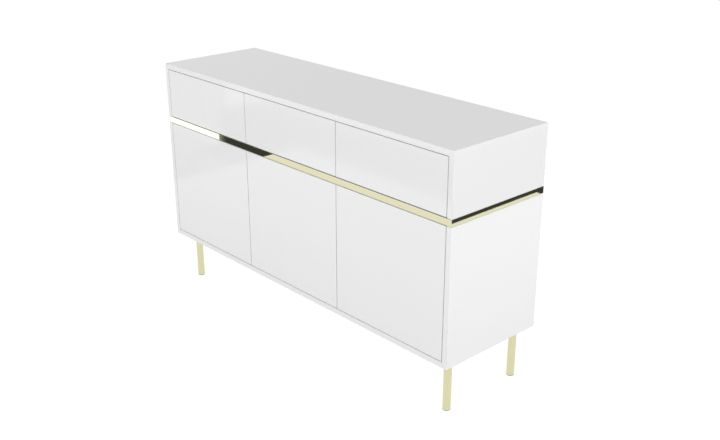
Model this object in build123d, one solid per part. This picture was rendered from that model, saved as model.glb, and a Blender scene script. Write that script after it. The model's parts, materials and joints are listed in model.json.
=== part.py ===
from build123d import *

import os
from math import hypot

# Sideboard with three drawers over three doors, in millimetres.
# The floor is z = 0, the middle of the width is x = 0, and the front faces -Y.

# Overall size
width = 1400.0
depth = 400.0
body_height = 658.0
leg_height = 180.0

# Boards, and the gaps round the fronts
board = 18.0
edge_round = 0.8
reveal = 2.5
back_sheet = 3.0
rabbet_width = 9.0
sheet_play = 0.5

# Polished strip round the front and both ends
strip_drop = 195.0
strip_height = 21.0
strip_thick = 2.0

# Legs: a tube welded to a plate under the bottom panel, with a glide in the foot
leg_radius = 12.5
leg_wall = 1.5
leg_inset_side = 49.0
leg_inset_front = 63.0
leg_inset_rear = 38.0
leg_plate_size = 60.0
leg_plate_thick = 3.0
leg_plate_corner = 6.0
glide_height = 3.0
glide_stem = 12.0
glide_chamfer = 1.0

# Shelves and their supports
shelf_play = 1.0
shelf_setback = 6.0
shelf_rear_gap = 3.0
bracket_leg = 14.0
bracket_width = 16.0
bracket_thick = 1.5
bracket_inset = 40.0

# Drawer boxes and telescopic slides
box_wall = 12.0
box_height = 125.0
box_lift = 18.0
box_bottom_lift = 10.0
groove_depth = 6.0
groove_play = 0.2
rail_length = 350.0
rail_front_gap = 4.0
rail_space = 12.7
rail_height = 45.0
rail_thick = 1.2
rail_gap = 0.5
cabinet_rail_depth = 9.6
partition_gap = 2.0

# Door pivots: a plate with a pin in each end of the door, running in a bush
pivot_depth = 9.0
sweep_gap = 0.5
pin_radius = 2.5
pin_end_gap = 1.0
thrust_radius = 4.0
thrust_gap = 0.2
pivot_plate_width = 10.0
pivot_plate_thick = 2.5
pivot_plate_short = 12.0
pivot_plate_long = 38.0
bush_radius = 4.0
bush_length = 10.0
bush_stand = 1.0

# Push latches
latch_size = 15.0
latch_length = 60.0
latch_standoff = 6.0
latch_inset = 30.0
latch_bore_depth = 52.0
latch_ear_width = 34.0
latch_ear_length = 20.0
latch_ear_thick = 2.5
plunger_radius = 3.0
plunger_length = 48.0
touch_gap = 0.3
strike_width = 24.0
strike_height = 14.0
strike_thick = 1.0

# Fits and cutting
fixed_fit = 0.05
running_fit = 0.05
overshoot = 1.0

# Levels and faces that follow from the sizes above
x_out = width / 2
x_in = x_out - board
y_front = -depth / 2
y_back = depth / 2
y_sheet = y_back - back_sheet
y_front_inside = y_front + board
z_bottom = leg_height
z_floor = z_bottom + board
z_top = z_bottom + body_height
z_ceiling = z_top - board
strip_high = z_top - strip_drop
strip_low = strip_high - strip_height
mid_centre = (strip_high + strip_low) / 2
mid_low = mid_centre - board / 2
mid_high = mid_centre + board / 2

# Three equal fronts across the opening, and the bays behind them
bay_names = ["left", "middle", "right"]
hinge_sides = [-1, -1, 1]
front_width = (2 * x_in - (len(bay_names) + 1) * reveal) / len(bay_names)
front_pitch = front_width + reveal
front_centres = [(i - 1) * front_pitch for i in range(len(bay_names))]
partition_centres = [-front_pitch / 2, front_pitch / 2]
bay_lows = [-x_in] + [x + board / 2 for x in partition_centres]
bay_highs = [x - board / 2 for x in partition_centres] + [x_in]
bays = list(zip(bay_lows, bay_highs))
drawer_low = strip_high + reveal
drawer_high = z_ceiling - reveal
door_low = z_floor + reveal
door_high = strip_low - reveal

# A door's front corner swings sideways by less than the reveal, and its back corner swings inwards
corner_swing = reveal - sweep_gap
pivot_inset = (pivot_depth**2 - corner_swing**2) / (2 * corner_swing)
y_pivot = y_front + pivot_depth
y_door_partition = y_pivot + hypot(pivot_inset, board - pivot_depth) + sweep_gap
y_drawer_partition = y_front_inside + partition_gap

# Shelves sit half-way up the door bays
y_shelf_front = y_door_partition + shelf_setback
y_shelf_back = y_sheet - shelf_rear_gap
shelf_low = (z_floor + mid_low - board) / 2
shelf_high = shelf_low + board

# Drawer boxes
y_rail = y_front_inside + rail_front_gap
y_box_back = y_rail + rail_length
box_low = mid_high + box_lift
box_high = box_low + box_height
box_bottom_low = box_low + box_bottom_lift
box_bottom_high = box_bottom_low + back_sheet
z_rail = (box_low + box_high) / 2


def span(a, b):
    return (min(a, b), max(a, b))


# Box between two limits on each axis
def block(x, y, z):
    size = Box(x[1] - x[0], y[1] - y[0], z[1] - z[0], align=(Align.MIN, Align.MIN, Align.MIN))
    return Pos(x[0], y[0], z[0]) * size


# Board with its front edges rounded, as edge banding is: all four, or only those along an axis
def banded_board(x, y, z, along=None):
    plain = block(x, y, z)
    edges = plain.faces().sort_by(Axis.Y)[0].edges()
    return fillet(edges.filter_by(along) if along else edges, edge_round)


# Straight round bar from a point along a direction
def rod(start, direction, radius, length):
    return Part() + Solid.make_cylinder(radius, length, Plane(origin=start, z_dir=direction))


def save(name, *solids):
    shape = solids[0] if len(solids) == 1 else Compound(children=list(solids))
    export_step(shape, f"parts/{name}.step")


# Steel angle on the wall of a bay that carries one corner of a shelf
def shelf_bracket(x_wall, s, y):
    x_leg, x_inside = x_wall + s * bracket_leg, x_wall + s * bracket_thick
    z_leg, z_inside = shelf_low - bracket_leg, shelf_low - bracket_thick
    outline = [(x_wall, shelf_low), (x_leg, shelf_low), (x_leg, z_inside)]
    outline += [(x_inside, z_inside), (x_inside, z_leg), (x_wall, z_leg)]
    face = make_face(Polyline(*[(x, y - bracket_width / 2, z) for x, z in outline], close=True))
    return extrude(face, amount=bracket_width, dir=(0, 1, 0))


def bracket_places():
    for low, high in bays:
        for y in (y_shelf_front + bracket_inset, y_shelf_back - bracket_inset):
            yield low, 1, y
            yield high, -1, y


# Pivot axes of the doors, and their bushes in the middle and bottom panels
pivot_places = []
for centre, side in zip(front_centres, hinge_sides):
    pivot_places.append(centre + side * (front_width / 2 - pivot_inset))


# Sleeve pressed into a panel, standing a little proud of it
def bush(x, z_face, up):
    z_end = z_face - up * bush_stand
    sleeve = rod((x, y_pivot, z_end), (0, 0, up), bush_radius, bush_length + bush_stand)
    return sleeve - rod((x, y_pivot, z_end), (0, 0, up), pin_radius + running_fit, bush_length + bush_stand)


def bush_hole(x, z_face, up):
    return rod((x, y_pivot, z_face), (0, 0, up), bush_radius + fixed_fit, bush_length)


bush_faces = [(mid_low, 1), (z_floor, -1)]
bushes = [bush(x, *face) for x in pivot_places for face in bush_faces]
bush_holes = [bush_hole(x, *face) for x in pivot_places for face in bush_faces]

# Legs
leg_places = []
for y in (y_front + leg_inset_front, y_back - leg_inset_rear):
    for s in (-1, 1):
        leg_places.append((s * (x_out - leg_inset_side), y))
z_plate = z_bottom - leg_plate_thick


def leg(x, y):
    half = leg_plate_size / 2
    plate = block((x - half, x + half), (y - half, y + half), (z_plate, z_bottom))
    plate = fillet(plate.edges().filter_by(Axis.Z), leg_plate_corner)
    tube = rod((x, y, glide_height), (0, 0, 1), leg_radius, z_plate - glide_height)
    tube -= rod((x, y, 0), (0, 0, 1), leg_radius - leg_wall, z_plate)
    return plate + tube


def leg_glide(x, y):
    foot = rod((x, y, 0), (0, 0, 1), leg_radius, glide_height)
    foot = chamfer(foot.edges().group_by(Axis.Z)[0], glide_chamfer)
    return foot + rod((x, y, 0), (0, 0, 1), leg_radius - leg_wall - fixed_fit, glide_height + glide_stem)


# Carcass panels
x_rabbet = x_in + rabbet_width
back_rabbet = block(
    (-x_rabbet, x_rabbet),
    (y_sheet, y_back + overshoot),
    (z_floor - rabbet_width, z_ceiling + rabbet_width),
)


# Top or bottom panel, rounded round its outer face
def outer_panel(z, outer_face):
    plain = block((-x_out, x_out), (y_front, y_back), z)
    return fillet(plain.faces().sort_by(Axis.Z)[outer_face].edges(), edge_round) - back_rabbet


def side_panel(s):
    plain = block(span(s * x_in, s * x_out), (y_front, y_back), (z_floor, z_ceiling))
    panel = fillet(plain.edges().filter_by(Axis.Z), edge_round) - back_rabbet
    strip_z = (strip_low, strip_high)
    x_past, y_past = x_out + overshoot, y_front - overshoot
    panel -= block(span(s * (x_out - strip_thick), s * x_past), (y_past, y_back + overshoot), strip_z)
    panel -= block(span(s * (x_in - overshoot), s * x_past), (y_past, y_front + strip_thick), strip_z)
    return panel


def partition(x, y_edge, z):
    return banded_board((x - board / 2, x + board / 2), (y_edge, y_sheet), z, Axis.Z)


def strip(outline):
    face = make_face(Polyline(*[(x, y, strip_low) for x, y in outline], close=True))
    return extrude(face, amount=strip_height, dir=(0, 0, 1))


def end_strip(s):
    x_groove = x_out - strip_thick
    y_mitre = y_front + strip_thick
    outline = [(x_out, y_front), (x_out, y_back), (x_groove, y_back), (x_groove, y_mitre)]
    return strip([(s * x, y) for x, y in outline])


def front_strip():
    x_groove = x_out - strip_thick
    y_mitre = y_front + strip_thick
    return strip([(-x_out, y_front), (x_out, y_front), (x_groove, y_mitre), (-x_groove, y_mitre)])


# Slides: three channels nested in each other, open towards each other's webs
def channel(x_web, s, height, reach):
    low, high = z_rail - height / 2, z_rail + height / 2
    x_tip, x_inside = x_web + s * reach, x_web + s * rail_thick
    outline = [(x_web, low), (x_tip, low), (x_tip, low + rail_thick), (x_inside, low + rail_thick)]
    outline += [(x_inside, high - rail_thick), (x_tip, high - rail_thick), (x_tip, high), (x_web, high)]
    face = make_face(Polyline(*[(x, y_rail, z) for x, z in outline], close=True))
    return extrude(face, amount=rail_length, dir=(0, 1, 0))


nest = rail_thick + rail_gap
nested_depth = rail_space - rail_thick - rail_gap - nest


def slide_channels(low, high):
    walls = [(low, 1), (high, -1)]
    cabinet = [channel(x, s, rail_height, cabinet_rail_depth) for x, s in walls]
    between = [channel(x + s * nest, s, rail_height - 2 * nest, nested_depth) for x, s in walls]
    inner_height, inner_depth = rail_height - 4 * nest, rail_space - 2 * nest
    inner = [channel(x + s * rail_space, -s, inner_height, inner_depth) for x, s in walls]
    return cabinet, between, inner


# Drawers: a front, two sides and a back round a thin bottom held in grooves
def drawer(name, centre, low, high):
    x_outer = (low + rail_space, high - rail_space)
    x_inner = (x_outer[0] + box_wall, x_outer[1] - box_wall)
    x_groove = (x_inner[0] - groove_depth, x_inner[1] + groove_depth)
    y_box = (y_front_inside, y_box_back)
    groove_z = (box_bottom_low, box_bottom_high + groove_play)
    groove = block(x_groove, (y_front_inside - groove_depth, y_box_back + overshoot), groove_z)

    front_x = (centre - front_width / 2, centre + front_width / 2)
    front = banded_board(front_x, (y_front, y_front_inside), (drawer_low, drawer_high))
    save(f"{name}_drawer_front", front - groove)

    box_z = (box_low, box_high)
    sides = [block(x, y_box, box_z) for x in (span(x_outer[0], x_inner[0]), span(x_inner[1], x_outer[1]))]
    save(f"{name}_drawer_sides", *[side - groove for side in sides])

    back_y = (y_box_back - box_wall, y_box_back)
    save(f"{name}_drawer_back", block(x_inner, back_y, (box_bottom_high, box_high)))

    bottom_x = (x_groove[0] + sheet_play, x_groove[1] - sheet_play)
    bottom_y = (y_front_inside - groove_depth + sheet_play, y_box_back)
    save(f"{name}_drawer_bottom", block(bottom_x, bottom_y, (box_bottom_low, box_bottom_high)))


# Push latch on the middle panel: above it for a drawer, below it for a door
y_latch = y_front_inside + latch_standoff


def latch_housing(x, z_face, up):
    z_axis = z_face + up * latch_size / 2
    half, ear_half = latch_size / 2, latch_ear_width / 2
    body_z = span(z_face, z_face + up * latch_size)
    body = block((x - half, x + half), (y_latch, y_latch + latch_length), body_z)
    y_ear = y_latch + (latch_length - latch_ear_length) / 2
    ear_z = span(z_face, z_face + up * latch_ear_thick)
    body += block((x - ear_half, x + ear_half), (y_ear, y_ear + latch_ear_length), ear_z)
    bore_length = latch_bore_depth + overshoot
    return body - rod((x, y_latch - overshoot, z_axis), (0, 1, 0), plunger_radius + running_fit, bore_length)


def latch_plunger(x, z_face, up, y_tip):
    return rod((x, y_tip, z_face + up * latch_size / 2), (0, 1, 0), plunger_radius, plunger_length)


# Doors: a panel with a pivot let into each end, and a strike plate at the latch
def door_pivot(x, s, z_face, up, z_pin_end):
    plate_x = span(x + s * pivot_plate_short, x - s * pivot_plate_long)
    plate_y = (y_pivot - pivot_plate_width / 2, y_pivot + pivot_plate_width / 2)
    plate = block(plate_x, plate_y, span(z_face, z_face - up * pivot_plate_thick))
    return plate, plate + rod((x, y_pivot, z_face), (0, 0, up), pin_radius, abs(z_pin_end - z_face))


def door(name, centre, s, x_pivot, x_latch):
    door_x = (centre - front_width / 2, centre + front_width / 2)
    panel = banded_board(door_x, (y_front, y_front_inside), (door_low, door_high))
    pin_length = bush_length - pin_end_gap
    top_plate, top_pivot = door_pivot(x_pivot, s, door_high, 1, mid_low + pin_length)
    low_plate, low_pivot = door_pivot(x_pivot, s, door_low, -1, z_floor - pin_length)
    thrust = door_low - z_floor - bush_stand - thrust_gap
    low_pivot += rod((x_pivot, y_pivot, door_low), (0, 0, -1), thrust_radius, thrust)
    save(f"{name}_door", panel - top_plate - low_plate)
    save(f"{name}_door_pivots", top_pivot, low_pivot)

    strike_x = (x_latch - strike_width / 2, x_latch + strike_width / 2)
    strike_z = (door_high - edge_round - strike_height, door_high - edge_round)
    save(f"{name}_strike_plate", block(strike_x, (y_front_inside, y_front_inside + strike_thick), strike_z))


os.makedirs("parts", exist_ok=True)

save("top_panel", outer_panel((z_ceiling, z_top), -1))
save("bottom_panel", outer_panel((z_bottom, z_floor), 0) - bush_holes)
save("left_side_panel", side_panel(-1))
save("right_side_panel", side_panel(1))
mid_panel = block((-x_in, x_in), (y_front + strip_thick, y_sheet), (mid_low, mid_high))
save("middle_panel", mid_panel - bush_holes)
for name, x in zip(("left", "right"), partition_centres):
    save(f"{name}_drawer_partition", partition(x, y_drawer_partition, (mid_high, z_ceiling)))
    save(f"{name}_door_partition", partition(x, y_door_partition, (z_floor, mid_low)))
sheet_x = (-x_rabbet + sheet_play, x_rabbet - sheet_play)
sheet_z = (z_floor - rabbet_width + sheet_play, z_ceiling + rabbet_width - sheet_play)
save("back_panel", block(sheet_x, (y_sheet, y_back), sheet_z))

save("front_strip", front_strip())
save("left_strip", end_strip(-1))
save("right_strip", end_strip(1))

leg_names = ["front_left", "front_right", "rear_left", "rear_right"]
for name, place in zip(leg_names, leg_places):
    save(f"{name}_leg", leg(*place))
save("leg_glides", *[leg_glide(*place) for place in leg_places])

save("shelf_brackets", *[shelf_bracket(*place) for place in bracket_places()])
save("pivot_bushes", *bushes)

latch_housings = []
for i, name in enumerate(bay_names):
    low, high = bays[i]
    shelf_x = (low + shelf_play, high - shelf_play)
    shelf_y = (y_shelf_front, y_shelf_back)
    save(f"{name}_shelf", banded_board(shelf_x, shelf_y, (shelf_low, shelf_high), Axis.X))

    drawer(name, front_centres[i], low, high)
    outer_pair, between_pair, inner_pair = slide_channels(low, high)
    save(f"{name}_cabinet_rails", *outer_pair)
    save(f"{name}_intermediate_rails", *between_pair)
    save(f"{name}_drawer_rails", *inner_pair)

    s = hinge_sides[i]
    x_latch = high - latch_inset if s < 0 else low + latch_inset
    door(name, front_centres[i], s, pivot_places[i], x_latch)
    x_bay = (low + high) / 2
    latch_housings += [latch_housing(x_latch, mid_low, -1), latch_housing(x_bay, mid_high, 1)]
    y_strike = y_front_inside + strike_thick
    save(f"{name}_door_plunger", latch_plunger(x_latch, mid_low, -1, y_strike + touch_gap))
    save(f"{name}_drawer_plunger", latch_plunger(x_bay, mid_high, 1, y_front_inside + touch_gap))
save("latch_housings", *latch_housings)
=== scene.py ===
import json
import math
import bmesh
import bpy
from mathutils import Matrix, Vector


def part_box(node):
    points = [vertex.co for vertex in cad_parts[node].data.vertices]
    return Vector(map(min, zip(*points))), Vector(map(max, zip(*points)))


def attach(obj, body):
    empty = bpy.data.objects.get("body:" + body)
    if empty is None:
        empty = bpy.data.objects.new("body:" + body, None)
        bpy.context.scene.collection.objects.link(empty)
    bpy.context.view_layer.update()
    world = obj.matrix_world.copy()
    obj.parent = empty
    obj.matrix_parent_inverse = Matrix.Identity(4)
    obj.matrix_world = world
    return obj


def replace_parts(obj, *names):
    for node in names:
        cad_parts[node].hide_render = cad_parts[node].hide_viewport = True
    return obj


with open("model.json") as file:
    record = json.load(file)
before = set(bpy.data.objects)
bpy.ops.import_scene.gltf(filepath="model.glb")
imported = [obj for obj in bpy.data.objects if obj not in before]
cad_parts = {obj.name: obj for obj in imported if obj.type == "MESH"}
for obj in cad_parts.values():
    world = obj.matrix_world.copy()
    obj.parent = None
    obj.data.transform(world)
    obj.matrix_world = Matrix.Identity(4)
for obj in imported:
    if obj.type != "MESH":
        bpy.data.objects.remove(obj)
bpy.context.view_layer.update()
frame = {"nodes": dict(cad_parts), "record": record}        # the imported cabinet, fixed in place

scene = bpy.context.scene
bays = ["left", "middle", "right"]
print("frame loaded:", len(frame["nodes"]), "nodes")


# one shader socket, with arithmetic that adds Math nodes
class Wire:
    def __init__(self, tree, socket):
        self.tree = tree
        self.socket = socket

    def math(self, operation, first, second):
        node = self.tree.nodes.new("ShaderNodeMath")
        node.operation = operation
        for slot, value in zip(node.inputs, (first, second)):
            join(self.tree, slot, value)
        return Wire(self.tree, node.outputs[0])

    def __add__(self, other):
        return self.math("ADD", self, other)

    def __radd__(self, other):
        return self.math("ADD", other, self)

    def __sub__(self, other):
        return self.math("SUBTRACT", self, other)

    def __rsub__(self, other):
        return self.math("SUBTRACT", other, self)

    def __mul__(self, other):
        return self.math("MULTIPLY", self, other)

    def __rmul__(self, other):
        return self.math("MULTIPLY", other, self)

    def __gt__(self, other):
        return self.math("GREATER_THAN", self, other)

    def __lt__(self, other):
        return self.math("LESS_THAN", self, other)


def join(tree, slot, value):
    if isinstance(value, Wire):
        tree.links.new(value.socket, slot)
    elif value is not None:
        slot.default_value = value


# a material or world under construction
class Finish:
    def __init__(self, owner, outputKind):
        owner.use_nodes = True
        self.owner = owner
        self.tree = owner.node_tree
        self.tree.nodes.clear()
        self.out = self.tree.nodes.new(outputKind)

    def add(self, kind, settings=None, sockets=None, output=0):
        node = self.tree.nodes.new(kind)
        for key, value in (settings or {}).items():
            setattr(node, key, value)
        for key, value in (sockets or {}).items():
            join(self.tree, node.inputs[key], value)
        return Wire(self.tree, node.outputs[output])

    def close(self, shader):
        join(self.tree, self.out.inputs["Surface"], shader)
        return self.owner

    def closeSurface(self, sockets):
        return self.close(self.add("ShaderNodeBsdfPrincipled", sockets=sockets))


def newFinish(name):
    return Finish(bpy.data.materials.new(name), "ShaderNodeOutputMaterial")


def objectPoint(finish, stretch=(1, 1, 1)):
    point = finish.add("ShaderNodeTexCoord", output="Object")
    return finish.add("ShaderNodeMapping", sockets={"Vector": point, "Scale": stretch})


def noise(finish, point, scale, detail=2.0, roughness=0.5):
    sockets = {"Vector": point, "Scale": scale, "Detail": detail, "Roughness": roughness}
    return finish.add("ShaderNodeTexNoise", sockets=sockets)


# a Mix node has its factor at 0, its colours at 6 and 7 and its blended colour at output 2
def blendColour(finish, amount, low, high):
    sockets = {0: amount}
    for slot, colour in ((6, low), (7, high)):
        sockets[slot] = colour if isinstance(colour, Wire) else (*colour, 1.0)
    return finish.add("ShaderNodeMix", {"data_type": "RGBA"}, sockets, 2)


def bump(finish, height, strength, distance):
    sockets = {"Height": height, "Strength": strength, "Distance": distance}
    return finish.add("ShaderNodeBump", sockets=sockets)


# finishes: each noise is (scale, detail, roughness), each relief is (strength, depth)

lacquer = {
    "low": (0.838, 0.840, 0.842), "high": (0.862, 0.862, 0.860), "index": 1.5,
    "cloud": (2.4, 3.0), "smudge": (9.0, 4.0, 0.6), "peel": (210.0, 1.0),
    "rough": 0.055, "roughSmudge": 0.05, "relief": (0.25, 0.00005),
}


def whiteLacquer():
    f = newFinish("whiteLacquer")
    point = objectPoint(f)
    cloud, smudge, peel = (noise(f, point, *lacquer[key]) for key in ("cloud", "smudge", "peel"))
    return f.closeSurface({
        "Base Color": blendColour(f, cloud, lacquer["low"], lacquer["high"]),
        "Roughness": smudge * lacquer["roughSmudge"] + lacquer["rough"],
        "IOR": lacquer["index"],
        "Normal": bump(f, peel, *lacquer["relief"]),
    })


melamine = {
    "low": (0.80, 0.80, 0.795), "high": (0.835, 0.835, 0.83),
    "cloud": (5.0, 3.0), "pearl": (900.0, 2.0),
    "rough": 0.34, "roughPearl": 0.16, "relief": (0.35, 0.00012),
}


def whiteMelamine():
    f = newFinish("whiteMelamine")
    point = objectPoint(f)
    cloud, pearl = (noise(f, point, *melamine[key]) for key in ("cloud", "pearl"))
    return f.closeSurface({
        "Base Color": blendColour(f, cloud, melamine["low"], melamine["high"]),
        "Roughness": pearl * melamine["roughPearl"] + melamine["rough"],
        "Normal": bump(f, pearl, *melamine["relief"]),
    })


fibreboard = {
    "pale": (0.50, 0.335, 0.19), "dark": (0.33, 0.205, 0.11), "white": (0.80, 0.80, 0.79),
    "fleck": (420.0, 4.0, 0.7), "drift": (14.0, 3.0), "fleckShare": 0.75,
    "rough": 0.42, "roughBare": 0.32, "relief": (0.3, 0.00015),
}


# thin sheet: white paper on one face, bare fibre on the other
def whiteSheet(name, axis, bareAbove, place):
    f = newFinish(name)
    point = objectPoint(f)
    split = f.add("ShaderNodeSeparateXYZ", sockets={"Vector": point}, output=axis)
    bare = split > place if bareAbove else split < place
    fleck, drift = (noise(f, point, *fibreboard[key]) for key in ("fleck", "drift"))
    share = fibreboard["fleckShare"]
    fibre = blendColour(f, fleck * share + drift * (1 - share), fibreboard["dark"], fibreboard["pale"])
    return f.closeSurface({
        "Base Color": blendColour(f, bare, fibreboard["white"], fibre),
        "Roughness": bare * fibreboard["roughBare"] + fibreboard["rough"],
        "Normal": bump(f, fleck, *fibreboard["relief"]),
    })


gold = {
    "mirror": (0.74, 0.717, 0.512), "satin": (0.72, 0.697, 0.437), "deep": (0.68, 0.648, 0.40),
    # the dark colour below is painted shade for the strip's upward and downward faces, seen through the gaps
    "gapShade": (0.22, 0.20, 0.15),
}
polish = {
    "hair": (60.0, 3.0, 0.6), "hairStretch": (1, 1, 40), "haze": (14.0, 3.0), "hazeShare": 0.35,
    "gapShadeFacing": 0.8,
    "rough": 0.004, "roughHair": 0.016, "roughHaze": 0.012, "relief": (0.05, 0.00002),
}


# polished faces, and painted shade on the faces above and below, which darkens the gap lines beside the strip
def goldMirror():
    f = newFinish("goldMirror")
    hair = noise(f, objectPoint(f, polish["hairStretch"]), *polish["hair"])
    haze = noise(f, objectPoint(f), *polish["haze"])
    facing = f.add("ShaderNodeTexCoord", output="Normal")
    lift = f.add("ShaderNodeSeparateXYZ", sockets={"Vector": facing}, output="Z")
    polished = blendColour(f, haze * polish["hazeShare"], gold["mirror"], gold["deep"])
    return f.closeSurface({
        # faces that point up or down take the dark painted gap shade instead of gold
        "Base Color": blendColour(f, lift * lift > polish["gapShadeFacing"], polished, gold["gapShade"]),
        "Metallic": 1.0,
        "Roughness": hair * polish["roughHair"] + haze * polish["roughHaze"] + polish["rough"],
        "Normal": bump(f, hair, *polish["relief"]),
    })


brushing = {
    "grain": (900.0, 3.0, 0.6), "grainStretch": (1, 1, 0.03), "haze": (30.0, 3.0),
    "hazeShare": 0.5, "grainShare": 0.2,
    "rough": 0.17, "roughGrain": 0.12, "roughHaze": 0.06, "relief": (0.12, 0.00004),
}


def goldSatin():
    f = newFinish("goldSatin")
    grain = noise(f, objectPoint(f, brushing["grainStretch"]), *brushing["grain"])
    haze = noise(f, objectPoint(f), *brushing["haze"])
    deep = haze * brushing["hazeShare"] + grain * brushing["grainShare"]
    return f.closeSurface({
        "Base Color": blendColour(f, deep, gold["satin"], gold["deep"]),
        "Metallic": 1.0,
        "Roughness": grain * brushing["roughGrain"] + haze * brushing["roughHaze"] + brushing["rough"],
        "Normal": bump(f, grain, *brushing["relief"]),
    })


plating = {"spangle": 240.0, "grainShare": 0.7, "roughGrain": 0.18, "relief": (0.2, 0.00005)}
zinc = {
    "low": (0.50, 0.51, 0.53), "high": (0.70, 0.71, 0.72),
    "grain": (160.0, 3.0, 0.6), "grainStretch": (1, 1, 1), "rough": 0.24,
}
rolled = {
    "low": (0.46, 0.47, 0.48), "high": (0.64, 0.65, 0.66),
    "grain": (800.0, 3.0, 0.6), "grainStretch": (1, 0.02, 1), "rough": 0.22,
}


def platedSteel(name, steel):
    f = newFinish(name)
    grain = noise(f, objectPoint(f, steel["grainStretch"]), *steel["grain"])
    sockets = {"Vector": objectPoint(f), "Scale": plating["spangle"]}
    spangle = f.add("ShaderNodeTexVoronoi", sockets=sockets, output="Distance")
    share = plating["grainShare"]
    return f.closeSurface({
        "Base Color": blendColour(f, grain * share + spangle * (1 - share), steel["low"], steel["high"]),
        "Metallic": 1.0,
        "Roughness": grain * plating["roughGrain"] + steel["rough"],
        "Normal": bump(f, grain, *plating["relief"]),
    })


moulding = {"spark": (1400.0, 2.0), "flow": (40.0, 3.0), "roughSpark": 0.2, "relief": (0.3, 0.00008)}


def mouldedPlastic(name, low, high, rough):
    f = newFinish(name)
    point = objectPoint(f)
    spark, flow = (noise(f, point, *moulding[key]) for key in ("spark", "flow"))
    return f.closeSurface({
        "Base Color": blendColour(f, flow, low, high),
        "Roughness": spark * moulding["roughSpark"] + rough,
        "Normal": bump(f, spark, *moulding["relief"]),
    })


def middleOf(name):
    low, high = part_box(name)
    return [(a + b) / 2 for a, b in zip(low, high)]


finishes = {
    "white_lacquer": whiteLacquer(),
    "white_board": whiteMelamine(),
    "gold_mirror": goldMirror(),
    "gold_satin": goldSatin(),
    "zinc": platedSteel("zincPlate", zinc),
    "slide_steel": platedSteel("slideSteel", rolled),
    "grey_plastic": mouldedPlastic("greyPlastic", (0.40, 0.40, 0.41), (0.46, 0.46, 0.47), 0.38),
    "white_plastic": mouldedPlastic("whitePlastic", (0.78, 0.78, 0.77), (0.83, 0.83, 0.82), 0.34),
    "black_plastic": mouldedPlastic("blackPlastic", (0.018, 0.018, 0.019), (0.032, 0.032, 0.033), 0.42),
}
backFinish = whiteSheet("backSheet", "Y", True, middleOf("back_panel")[1])
bottomFinish = whiteSheet("drawerSheet", "Z", False, middleOf("middle_drawer_bottom")[2])


# the two kinds of thin sheet share a slot, so they are told apart by node
def dressNodes():
    for part in frame["record"]["subparts"]:
        node = frame["nodes"][part["node"]]
        finish = finishes.get(part["material_slot"], bottomFinish)
        if part["node"] == "back_panel":
            finish = backFinish
        node.data.materials.clear()
        node.data.materials.append(finish)


softEdges = {
    "slide_steel": 0.0008, "zinc": 0.0004, "white_plastic": 0.0007, "grey_plastic": 0.0006,
    "white_board": 0.0003, "gold_mirror": 0.0002,
}
bevelling = {"weld": 0.00001, "segments": 2, "angle": 40}


# rolled and moulded edges: a small live bevel over the welded mesh
def softenEdges():
    for part in frame["record"]["subparts"]:
        size = softEdges.get(part["material_slot"])
        if size is None:
            continue
        node = frame["nodes"][part["node"]]
        weld = node.modifiers.new("weld", "WELD")
        weld.merge_threshold = bevelling["weld"]
        bevel = node.modifiers.new("softEdge", "BEVEL")
        bevel.width = size
        bevel.segments = bevelling["segments"]
        bevel.limit_method = "ANGLE"
        bevel.angle_limit = math.radians(bevelling["angle"])
        bevel.harden_normals = True


dressNodes()
softenEdges()

# fittings that repeat, placed by Geometry Nodes


def meshObject(name, build):
    mesh = bpy.data.meshes.new(name)
    work = bmesh.new()
    build(work)
    bmesh.ops.recalc_face_normals(work, faces=work.faces)
    work.to_mesh(mesh)
    work.free()
    return bpy.data.objects.new(name, mesh)


def ring(work, radius, height, count):
    turn = 2 * math.pi / count
    spots = [(radius * math.cos(turn * i), radius * math.sin(turn * i), height) for i in range(count)]
    return [work.verts.new(spot) for spot in spots]


def skirt(work, lower, upper):
    count = len(lower)
    for i in range(count):
        work.faces.new((lower[i], lower[(i + 1) % count], upper[(i + 1) % count], upper[i]))


headShape = {"sides": 16, "rim": 0.35, "crown": 0.74, "pitTaper": 0.7}


# screw head on z = 0 with a cross recess, given as (arm length, half arm width, depth)
def crossHead(name, radius, height, recess):
    arm, half, pit = recess
    plan = [(half, half), (half, arm), (-half, arm), (-half, half), (-arm, half), (-arm, -half),
            (-half, -half), (-half, -arm), (half, -arm), (half, -half), (arm, -half), (arm, half)]

    def build(work):
        steps = ((radius, 0), (radius, height * headShape["rim"]), (radius * headShape["crown"], height))
        base, rim, crown = (ring(work, r, z, headShape["sides"]) for r, z in steps)
        skirt(work, base, rim)
        skirt(work, rim, crown)
        taper = headShape["pitTaper"]
        mouth = [work.verts.new((x, y, height)) for x, y in plan]
        floor = [work.verts.new((x * taper, y * taper, height - pit)) for x, y in plan]
        skirt(work, mouth, floor)
        work.faces.new(floor)
        pairs = [(loop[i - 1], loop[i]) for loop in (crown, mouth) for i in range(len(loop))]
        edges = [work.edges.get(pair) or work.edges.new(pair) for pair in pairs]
        bmesh.ops.triangle_fill(work, use_beauty=True, edges=edges)
        work.faces.new(base)
    return meshObject(name, build)


capSides = 20


# flat disc with a soft rim
def roundCap(name, radius, height, edge):
    def build(work):
        steps = ((radius, 0), (radius, height - edge), (radius - edge, height))
        loops = [ring(work, r, z, capSides) for r, z in steps]
        skirt(work, loops[0], loops[1])
        skirt(work, loops[1], loops[2])
        work.faces.new(loops[2])
        work.faces.new(loops[0])
    return meshObject(name, build)


beadShape = {"sides": 32, "bite": 0.0004, "profile": ((1, 0), (0.72, 0.55), (0.3, 0.85))}


# bead laid in the corner between a tube and a plate, biting a little into the tube
def cornerBead(name, radius, size):
    def build(work):
        inside = radius - beadShape["bite"]
        steps = [(radius + size * r, size * z) for r, z in beadShape["profile"]]
        steps = [(inside, 0), *steps, (inside, size)]
        loops = [ring(work, r, z, beadShape["sides"]) for r, z in steps]
        for lower, upper in zip(loops, loops[1:] + loops[:1]):
            skirt(work, lower, upper)
    return meshObject(name, build)


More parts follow.
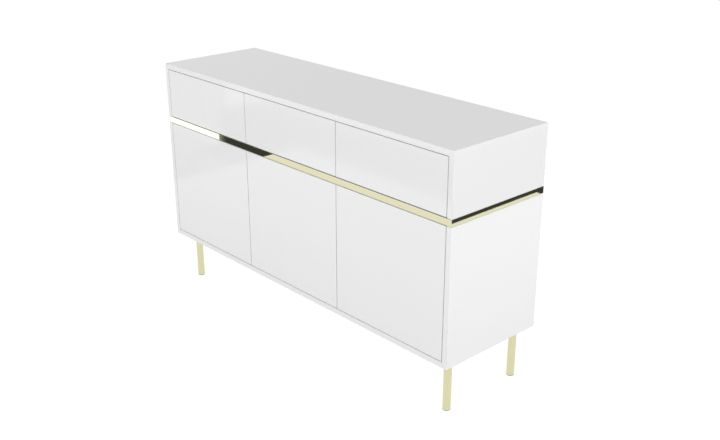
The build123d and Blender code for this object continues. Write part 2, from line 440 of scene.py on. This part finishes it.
def repeatTree():
    tree = bpy.data.node_groups.new("repeatShape", "GeometryNodeTree")
    face = tree.interface
    face.new_socket("Spots", in_out="INPUT", socket_type="NodeSocketGeometry")
    face.new_socket("Shape", in_out="INPUT", socket_type="NodeSocketObject")
    face.new_socket("Size", in_out="INPUT", socket_type="NodeSocketFloat")
    face.new_socket("Finish", in_out="INPUT", socket_type="NodeSocketMaterial")
    face.new_socket("Piece", in_out="OUTPUT", socket_type="NodeSocketGeometry")
    kinds = {
        "given": "NodeGroupInput", "points": "GeometryNodeMeshToPoints",
        "axis": "GeometryNodeInputNamedAttribute", "turn": "FunctionNodeAlignRotationToVector",
        "shape": "GeometryNodeObjectInfo", "place": "GeometryNodeInstanceOnPoints",
        "real": "GeometryNodeRealizeInstances", "paint": "GeometryNodeSetMaterial", "out": "NodeGroupOutput",
    }
    nodes = {key: tree.nodes.new(kind) for key, kind in kinds.items()}
    nodes["axis"].data_type = "FLOAT_VECTOR"
    nodes["axis"].inputs["Name"].default_value = "axis"
    nodes["turn"].axis = "Z"
    links = [
        ("given", "Spots", "points", "Mesh"), ("points", "Points", "place", "Points"),
        ("given", "Shape", "shape", "Object"), ("shape", "Geometry", "place", "Instance"),
        ("axis", "Attribute", "turn", "Vector"), ("turn", "Rotation", "place", "Rotation"),
        ("given", "Size", "place", "Scale"), ("place", "Instances", "real", "Geometry"),
        ("real", "Geometry", "paint", "Geometry"), ("given", "Finish", "paint", "Material"),
        ("paint", "Geometry", "out", "Piece"),
    ]
    for source, output, target, slot in links:
        tree.links.new(nodes[source].outputs[output], nodes[target].inputs[slot])
    return tree


spreader = repeatTree()


# copies of shape at the spots, which are (place, axis that the shape's z follows)
def repeatPiece(name, shape, spots, slot, body, size=1.0):
    mesh = bpy.data.meshes.new(name + "Spots")
    mesh.from_pydata([place for place, axis in spots], [], [])
    axes = mesh.attributes.new("axis", "FLOAT_VECTOR", "POINT")
    for item, (place, axis) in zip(axes.data, spots):
        item.vector = axis
    carrier = bpy.data.objects.new(name + "Spots", mesh)
    scene.collection.objects.link(carrier)
    modifier = carrier.modifiers.new("repeat", "NODES")
    modifier.node_group = spreader
    given = {"Shape": shape, "Size": size, "Finish": finishes[slot]}
    for item in spreader.interface.items_tree:
        if item.item_type == "SOCKET" and item.in_out == "INPUT" and item.name in given:
            modifier[item.identifier] = given[item.name]
    graph = bpy.context.evaluated_depsgraph_get()
    solid = bpy.data.meshes.new_from_object(carrier.evaluated_get(graph))
    bpy.data.objects.remove(carrier)
    addPiece(name, solid, body)


def addPiece(name, mesh, body):
    obj = bpy.data.objects.new(name, mesh)
    scene.collection.objects.link(obj)
    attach(obj, body)
    print("piece", name, len(mesh.polygons), "faces")
    return obj


right, rear, up = Vector((1, 0, 0)), Vector((0, 1, 0)), Vector((0, 0, 1))
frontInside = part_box("middle_drawer_front")[1].y
legNames = ["front_left_leg", "front_right_leg", "rear_left_leg", "rear_right_leg"]
legFixing = {
    "plate": 0.003, "spread": 0.021, "radius": 0.0045, "height": 0.0024, "recess": (0.0026, 0.0005, 0.0013),
    "tube": 0.0125, "bead": 0.0022,
}


def legFittings():
    screws, beads = [], []
    off = legFixing["spread"]
    for name in legNames:
        x, y = middleOf(name)[:2]
        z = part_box(name)[1].z - legFixing["plate"]
        screws += [((x + i * off, y + j * off, z), -up) for i in (-1, 1) for j in (-1, 1)]
        beads.append(((x, y, z), -up))
    head = crossHead("legScrew", legFixing["radius"], legFixing["height"], legFixing["recess"])
    repeatPiece("legScrews", head, screws, "zinc", "carcass")
    bead = cornerBead("legBead", legFixing["tube"], legFixing["bead"])
    repeatPiece("legBeads", bead, beads, "gold_satin", "carcass")


# the x of both walls of each bay
def bayWalls(below):
    kind = "door" if below else "drawer"
    walls = [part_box("left_side_panel")[1].x]
    for side in ("left", "right"):
        low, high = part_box(side + "_" + kind + "_partition")
        walls += [low.x, high.x]
    walls.append(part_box("right_side_panel")[0].x)
    return list(zip(walls[0::2], walls[1::2]))


bracketFixing = {
    "leg": 0.014, "screwShare": 0.57, "thick": 0.0015, "inset": 0.040,
    "radius": 0.0027, "height": 0.0012, "recess": (0.0016, 0.00032, 0.0008),
}


def bracketScrews():
    spots = []
    reach, thick = bracketFixing["leg"] * bracketFixing["screwShare"], bracketFixing["thick"]
    for bay, (low, high) in zip(bays, bayWalls(True)):
        shelfLow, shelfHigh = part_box(bay + "_shelf")
        z = shelfLow.z
        for y in (shelfLow.y + bracketFixing["inset"], shelfHigh.y - bracketFixing["inset"]):
            for wall, way in ((low, 1), (high, -1)):
                spots.append(((wall + way * thick, y, z - reach), right * way))
                spots.append(((wall + way * reach, y, z - thick), -up))
    radius, height, recess = (bracketFixing[key] for key in ("radius", "height", "recess"))
    head = crossHead("bracketScrew", radius, height, recess)
    repeatPiece("bracketScrews", head, spots, "zinc", "carcass")


latchFixing = {
    "off": 0.01225, "ear": 0.0025, "y": 0.036,
    "radius": 0.0026, "height": 0.0012, "recess": (0.0016, 0.00032, 0.0008),
}


def latchScrews():
    panelLow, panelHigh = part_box("middle_panel")
    spots = []
    y = frontInside + latchFixing["y"]
    for bay in bays:
        for kind, face, way in (("door", panelLow.z, -1), ("drawer", panelHigh.z, 1)):
            x, z = middleOf(bay + "_" + kind + "_plunger")[0], face + way * latchFixing["ear"]
            spots += [((x + i * latchFixing["off"], y, z), up * way) for i in (-1, 1)]
    head = crossHead("latchScrew", latchFixing["radius"], latchFixing["height"], latchFixing["recess"])
    repeatPiece("latchScrews", head, spots, "zinc", "carcass")


doorFixing = {
    "strike": 0.0085, "radius": 0.0017, "height": 0.0005, "recess": (0.0010, 0.00022, 0.0004),
    "pin": 0.012, "plate": (0.014, 0.030), "plateRadius": 0.0024,
}


# small screws in the strike plates, and the same head larger in the pivot plates
def doorScrews():
    small = crossHead("doorScrew", doorFixing["radius"], doorFixing["height"], doorFixing["recess"])
    ratio = doorFixing["plateRadius"] / doorFixing["radius"]
    for bay in bays:
        x, z = middleOf(bay + "_strike_plate")[::2]
        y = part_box(bay + "_strike_plate")[1].y
        spots = [((x + i * doorFixing["strike"], y, z), rear) for i in (-1, 1)]
        repeatPiece(bay + "StrikeScrews", small, spots, "zinc", bay + "_door")
        doorLow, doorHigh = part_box(bay + "_door")
        plateLow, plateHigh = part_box(bay + "_door_pivots")
        way = 1 if bay != "right" else -1
        pin = (plateLow.x if way > 0 else plateHigh.x) + way * doorFixing["pin"]
        y = (plateLow.y + plateHigh.y) / 2
        spots = [((pin + way * off, y, z), axis) for off in doorFixing["plate"]
                 for z, axis in ((doorHigh.z, up), (doorLow.z, -up))]
        repeatPiece(bay + "PivotScrews", small, spots, "zinc", bay + "_door", ratio)


drawerFixing = {
    "wall": 0.012, "capIn": 0.026, "capBelow": 0.030, "capAbove": 0.026,
    "capRadius": 0.0075, "capHeight": 0.0007, "capEdge": 0.0003,
    "screwIn": 0.006, "screwBelow": 0.022, "screwAbove": 0.016,
    "screwRadius": 0.0034, "screwHeight": 0.0007, "recess": (0.0020, 0.0004, 0.0005),
}


def drawerFixings():
    fix = drawerFixing
    cap = roundCap("drawerCap", fix["capRadius"], fix["capHeight"], fix["capEdge"])
    head = crossHead("drawerScrew", fix["screwRadius"], fix["screwHeight"], fix["recess"])
    for bay in bays:
        low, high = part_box(bay + "_drawer_sides")
        heights = (low.z + fix["capBelow"], high.z - fix["capAbove"])
        inside = ((low.x + fix["wall"], right), (high.x - fix["wall"], -right))
        spots = [((x, low.y + fix["capIn"], z), axis) for x, axis in inside for z in heights]
        repeatPiece(bay + "DrawerCaps", cap, spots, "white_plastic", bay + "_drawer")
        heights = (low.z + fix["screwBelow"], high.z - fix["screwAbove"])
        outside = ((low.x, -right), (high.x, right))
        spots = [((x, high.y - fix["screwIn"], z), axis) for x, axis in outside for z in heights]
        repeatPiece(bay + "DrawerScrews", head, spots, "zinc", bay + "_drawer")


blockShape = {"sides": 16, "edge": 0.4}


# block with rounded corners standing on z = 0
def softBlock(name, length, width, height, corner):
    def build(work):
        loops = []
        edge, count = corner * blockShape["edge"], blockShape["sides"]
        for shrink, z in ((0, 0), (0, height - edge), (edge, height)):
            loop = []
            for i in range(count):
                turn = 2 * math.pi * (i + 0.5) / count
                along, across = math.cos(turn), math.sin(turn)
                x = math.copysign(length / 2 - corner, along) + (corner - shrink) * along
                y = math.copysign(width / 2 - corner, across) + (corner - shrink) * across
                loop.append(work.verts.new((x, y, z)))
            loops.append(loop)
        skirt(work, loops[0], loops[1])
        skirt(work, loops[1], loops[2])
        work.faces.new(loops[0])
        work.faces.new(loops[2])
    return meshObject(name, build)


# half outline as shares of (length, width), and how far the upper face draws in
leverShape = {
    "half": [(-0.5, 0.30), (-0.42, 0.5), (0.05, 0.42), (0.16, 0.30), (0.36, 0.34), (0.44, 0.62), (0.5, 0.55)],
    "drawIn": (0.9, 0.985),
}


# release lever: a slim blade with a thumb pad, along local y
def releaseLever(name, length, width, height):
    def build(work):
        half = [(v * width, u * length) for u, v in leverShape["half"]]
        edge = half + [(-x, y) for x, y in reversed(half)]
        narrow, short = leverShape["drawIn"]
        lower = [work.verts.new((x, y, 0)) for x, y in edge]
        upper = [work.verts.new((x * narrow, y * short, height)) for x, y in edge]
        skirt(work, lower, upper)
        work.faces.new(lower)
        work.faces.new(upper)
    return meshObject(name, build)


slideFixing = {
    "thick": 0.0012, "nest": 0.0017, "screws": (0.035, 0.165, 0.318),
    "radius": 0.0032, "height": 0.0015, "recess": (0.0019, 0.0004, 0.0009),
    "leverIn": 0.236, "lever": (0.044, 0.013, 0.0020),
    "bumperIn": 0.006, "bumper": (0.022, 0.010, 0.0040, 0.003),
}


def slideFittings():
    head = crossHead("railScrew", slideFixing["radius"], slideFixing["height"], slideFixing["recess"])
    lever = releaseLever("railLever", *slideFixing["lever"])
    bumper = softBlock("railBumper", *slideFixing["bumper"])
    thick = slideFixing["thick"]
    for bay in bays:
        boxLow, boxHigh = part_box(bay + "_drawer_sides")
        wallLow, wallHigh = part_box(bay + "_cabinet_rails")
        front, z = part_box(bay + "_drawer_rails")[0].y, middleOf(bay + "_drawer_rails")[2]
        webs = ((boxLow.x - thick, -right), (boxHigh.x + thick, right))
        spots = [((x, front + y, z), axis) for x, axis in webs for y in slideFixing["screws"]]
        repeatPiece(bay + "RailScrews", head, spots, "zinc", bay + "_drawer")
        spots = [((x, front + slideFixing["leverIn"], z), axis) for x, axis in webs]
        repeatPiece(bay + "RailLevers", lever, spots, "black_plastic", bay + "_drawer")
        step = slideFixing["nest"] + thick
        webs = ((wallLow.x + step, right), (wallHigh.x - step, -right))
        spots = [((x, front + slideFixing["bumperIn"], z), axis) for x, axis in webs]
        repeatPiece(bay + "RailBumpers", bumper, spots, "black_plastic", bay + "_slide")


capFixing = {
    "radius": 0.0085, "height": 0.0009, "edge": 0.0004, "inset": 0.034, "depths": (-0.125, 0.02, 0.155),
}


def carcassCaps():
    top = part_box("top_panel")[0].z - capFixing["inset"]
    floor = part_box("bottom_panel")[1].z + capFixing["inset"]
    spots = []
    for walls, z in ((bayWalls(False), top), (bayWalls(True), floor)):
        faces = [(walls[0][0], right), (walls[1][0], right), (walls[1][1], -right), (walls[2][1], -right)]
        spots += [((x, y, z), axis) for x, axis in faces for y in capFixing["depths"]]
    cap = roundCap("carcassCap", capFixing["radius"], capFixing["height"], capFixing["edge"])
    repeatPiece("carcassCaps", cap, spots, "white_plastic", "carcass")


nailFixing = {"inset": 0.008, "pitch": 0.095, "radius": 0.0022, "height": 0.0003, "edge": 0.00015}


# nails round the back panel, along the middle panel and up the door partitions
def backNails():
    low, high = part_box("back_panel")
    inset, y = nailFixing["inset"], high.y
    west, east, south, north = low.x + inset, high.x - inset, low.z + inset, high.z - inset
    across = round((east - west) / nailFixing["pitch"])
    upward = round((north - south) / nailFixing["pitch"])
    levels = (south, middleOf("middle_panel")[2], north)
    posts = [west, east] + [middleOf(side + "_door_partition")[0] for side in ("left", "right")]
    rows = [(west + (east - west) * i / across, z) for i in range(across + 1) for z in levels]
    rows += [(x, south + (north - south) * i / upward) for x in posts for i in range(1, upward)]
    nail = roundCap("backNail", nailFixing["radius"], nailFixing["height"], nailFixing["edge"])
    repeatPiece("backNails", nail, [((x, y, z), rear) for x, z in rows], "zinc", "carcass")


grooveFit = {"gap": 0.0013, "near": 0.00005}


def weldedCopy(name):
    work = bmesh.new()
    work.from_mesh(frame["nodes"][name].data)
    bmesh.ops.remove_doubles(work, verts=work.verts, dist=grooveFit["near"])
    return work


def standIn(name, work, slot, node):
    mesh = bpy.data.meshes.new(name)
    work.to_mesh(mesh)
    work.free()
    mesh.materials.append(finishes[slot])
    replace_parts(addPiece(name, mesh, "carcass"), node)


# the strip lies in a slightly wider groove, which shows as a fine dark line above and below it
def widenGrooves():
    for side in ("left", "right"):
        panel = side + "_side_panel"
        stripLow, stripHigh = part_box(side + "_strip")
        work = weldedCopy(panel)
        for corner in work.verts:
            for edge, way in ((stripLow.z, -1), (stripHigh.z, 1)):
                if abs(corner.co.z - edge) < grooveFit["near"]:
                    corner.co.z = edge + way * grooveFit["gap"]
        standIn(side + "Side", work, "white_lacquer", panel)


# the photo shows no dark foot, so the glides are pale here
def paleGlides():
    standIn("legGlides", weldedCopy("leg_glides"), "grey_plastic", "leg_glides")


widenGrooves()
paleGlides()
legFittings()
bracketScrews()
latchScrews()
doorScrews()
drawerFixings()
slideFittings()
carcassCaps()
backNails()
print("fittings placed")

# stage: a white floor, and cards that only reflections see

studio = {
    "floor": 14.0, "floorDrop": 0.0004, "floorGrey": 0.60, "floorSpeck": 0.01, "speck": (30.0, 3.0),
    "shadowShare": 0.16, "floorWhite": 1.13, "ambient": 0.565, "white": 1.0,
    "flagLift": 0.002, "flagTone": 0.052, "flagPale": 0.50, "flagDarkY": -1.27, "flagPaleY": -1.10,
    "panelX": -2.0, "panelEdge": -1.2825, "panelRear": 0.6, "panelTop": 2.2, "panelGlow": 0.5,
    "panelFade": 0.06,
    "bandFar": -0.93, "bandNearZ": (0.028, 0.067), "bandFarZ": (0.221, 0.255), "bandProud": 0.01,
    "bandGlow": 1.95, "bandTint": (0.85, 0.87, 1.0),
}
# dark cards on the floor, as (x range, y range)
flags = {
    "left": ((-2.6, -1.6595), (-2.05, -0.4)),
    "front": ((-1.6595, -0.4), (-2.05, -1.57)),
    "right": ((1.7353, 2.45), (0.9, 2.6)),
    "rear": ((1.2, 1.7353), (1.5675, 2.6)),
}


def stageMesh(name, corners, finish):
    mesh = bpy.data.meshes.new(name)
    mesh.from_pydata(corners, [], [tuple(range(len(corners)))])
    mesh.materials.append(finish)
    obj = bpy.data.objects.new(name, mesh)
    scene.collection.objects.link(obj)
    return obj


def flat(name, x, y, z, finish):
    corners = [(x[0], y[0], z), (x[1], y[0], z), (x[1], y[1], z), (x[0], y[1], z)]
    return stageMesh(name, corners, finish)


def onlyInReflections(obj):
    for ray in ("camera", "diffuse", "transmission", "volume_scatter", "shadow"):
        setattr(obj, "visible_" + ray, False)


# 1 where the stage is seen, itself or in a mirror, and 0 where it only lights
def seenDirectly(finish):
    ray = finish.tree.nodes.new("ShaderNodeLightPath")
    camera, glossy, through = (Wire(finish.tree, ray.outputs[n]) for n in
                               ("Is Camera Ray", "Is Glossy Ray", "Is Transmission Ray"))
    return camera + glossy + through


# pure white with faint shadows from above, clear from below
def floorFinish():
    f = newFinish("paleFloor")
    grey, change = studio["floorGrey"], studio["floorSpeck"]
    speck = noise(f, objectPoint(f), *studio["speck"])
    tone = blendColour(f, speck, (grey - change,) * 3, (grey + change,) * 3)
    matte = f.add("ShaderNodeBsdfDiffuse", sockets={"Color": tone})
    glow = f.add("ShaderNodeEmission", sockets={"Color": (1, 1, 1, 1), "Strength": studio["floorWhite"]})
    amount = seenDirectly(f) * (1 - studio["shadowShare"])
    above = f.add("ShaderNodeMixShader", sockets={0: amount, 1: matte, 2: glow})
    under = f.add("ShaderNodeNewGeometry", output="Backfacing")
    clear = f.add("ShaderNodeBsdfTransparent")
    return f.close(f.add("ShaderNodeMixShader", sockets={0: under, 1: above, 2: clear}))


# a card's glow, which may sink along y from full at start to the share least at end
def glowFinish(name, tone, start=None, end=None, least=1.0, tint=(1, 1, 1)):
    f = newFinish(name)
    colour = (*tint, 1)
    if start is not None:
        place = f.add("ShaderNodeSeparateXYZ", sockets={"Vector": objectPoint(f)}, output="Y")
        left = f.add("ShaderNodeMapRange", sockets={"Value": place, "From Min": end, "From Max": start})
        colour = blendColour(f, left * left, (least,) * 3, (1, 1, 1))
    return f.close(f.add("ShaderNodeEmission", sockets={"Color": colour, "Strength": tone}))


def buildStage():
    half = studio["floor"]
    flat("paleFloor", (-half, half), (-half, half), -studio["floorDrop"], floorFinish())
    dark, pale = studio["flagTone"], studio["flagPale"]
    plain = glowFinish("flagTone", dark)
    shaded = glowFinish("leftFlagTone", pale, studio["flagPaleY"], studio["flagDarkY"], dark / pale)
    cards = []
    for side, (x, y) in flags.items():
        finish = shaded if side == "left" else plain
        cards.append(flat(side + "Flag", x, y, studio["flagLift"], finish))
    x, edge, far, top = (studio[key] for key in ("panelX", "panelEdge", "panelRear", "panelTop"))
    near = edge - studio["panelFade"]
    glow = glowFinish("panelGlow", studio["panelGlow"], edge, near, dark / studio["panelGlow"])
    cards.append(stageMesh("leftPanel", [(x, near, 0), (x, far, 0), (x, far, top), (x, near, top)], glow))
    x, far, low, high = x + studio["bandProud"], studio["bandFar"], studio["bandNearZ"], studio["bandFarZ"]
    corners = [(x, edge, low[0]), (x, far, high[0]), (x, far, high[1]), (x, edge, low[1])]
    glow = glowFinish("bandGlow", studio["bandGlow"], tint=studio["bandTint"])
    cards.append(stageMesh("leftBand", corners, glow))
    for card in cards:
        onlyInReflections(card)


def buildWorld():
    world = bpy.data.worlds.new("studioWorld")
    scene.world = world
    f = Finish(world, "ShaderNodeOutputWorld")
    soft = f.add("ShaderNodeBackground", sockets={"Color": (1, 1, 1, 1), "Strength": studio["ambient"]})
    plain = f.add("ShaderNodeBackground", sockets={"Color": (1, 1, 1, 1), "Strength": studio["white"]})
    f.close(f.add("ShaderNodeMixShader", sockets={0: seenDirectly(f), 1: soft, 2: plain}))


lamps = {
    "frontSoftbox": {"at": (-0.35, -1.9, 1.15), "aim": (-0.3, 0, 0.6), "size": (4.8, 0.7), "power": 26.5},
    "rightSoftbox": {"at": (2.4, 0.15, 1.1), "aim": (0.4, 0, 0.6), "size": (2.6, 0.7), "power": 19.4},
    "leftFill": {"at": (-3.0, 0.5, 1.0), "aim": (-0.4, 0.2, 0.5), "size": (2.4, 0.8), "power": 15.0},
    "rearFill": {"at": (0.2, 2.8, 1.0), "aim": (0.2, 0, 0.5), "size": (4.0, 0.8), "power": 20.0},
}


def buildLamps():
    for name, lamp in lamps.items():
        data = bpy.data.lights.new(name, "AREA")
        data.shape = "RECTANGLE"
        data.size, data.size_y = lamp["size"]
        data.energy = lamp["power"]
        obj = bpy.data.objects.new(name, data)
        obj.location = lamp["at"]
        aim = Vector(lamp["aim"]) - obj.location
        obj.rotation_euler = aim.to_track_quat("-Z", "Y").to_euler()
        obj.visible_camera = False
        obj.visible_glossy = False
        scene.collection.objects.link(obj)


# the photo's camera, solved from the cabinet's straight edges
shot = {
    "at": (2.31762, -2.02060, 1.61606), "azimuth": 47.432, "elevation": 21.857,
    "focalPixels": 971.91, "imageWidth": 720, "sensor": 36.0, "far": 100.0,
}


def buildCamera():
    data = bpy.data.cameras.new("photoCamera")
    data.sensor_width = shot["sensor"]
    data.lens = shot["focalPixels"] / shot["imageWidth"] * shot["sensor"]
    data.clip_end = shot["far"]
    obj = bpy.data.objects.new("photoCamera", data)
    obj.location = shot["at"]
    obj.rotation_euler = (math.radians(90 - shot["elevation"]), 0, math.radians(shot["azimuth"]))
    scene.collection.objects.link(obj)
    scene.camera = obj


buildStage()
buildWorld()
buildLamps()
buildCamera()
scene.view_settings.view_transform = "Standard"
print("stage, lamps and camera set")
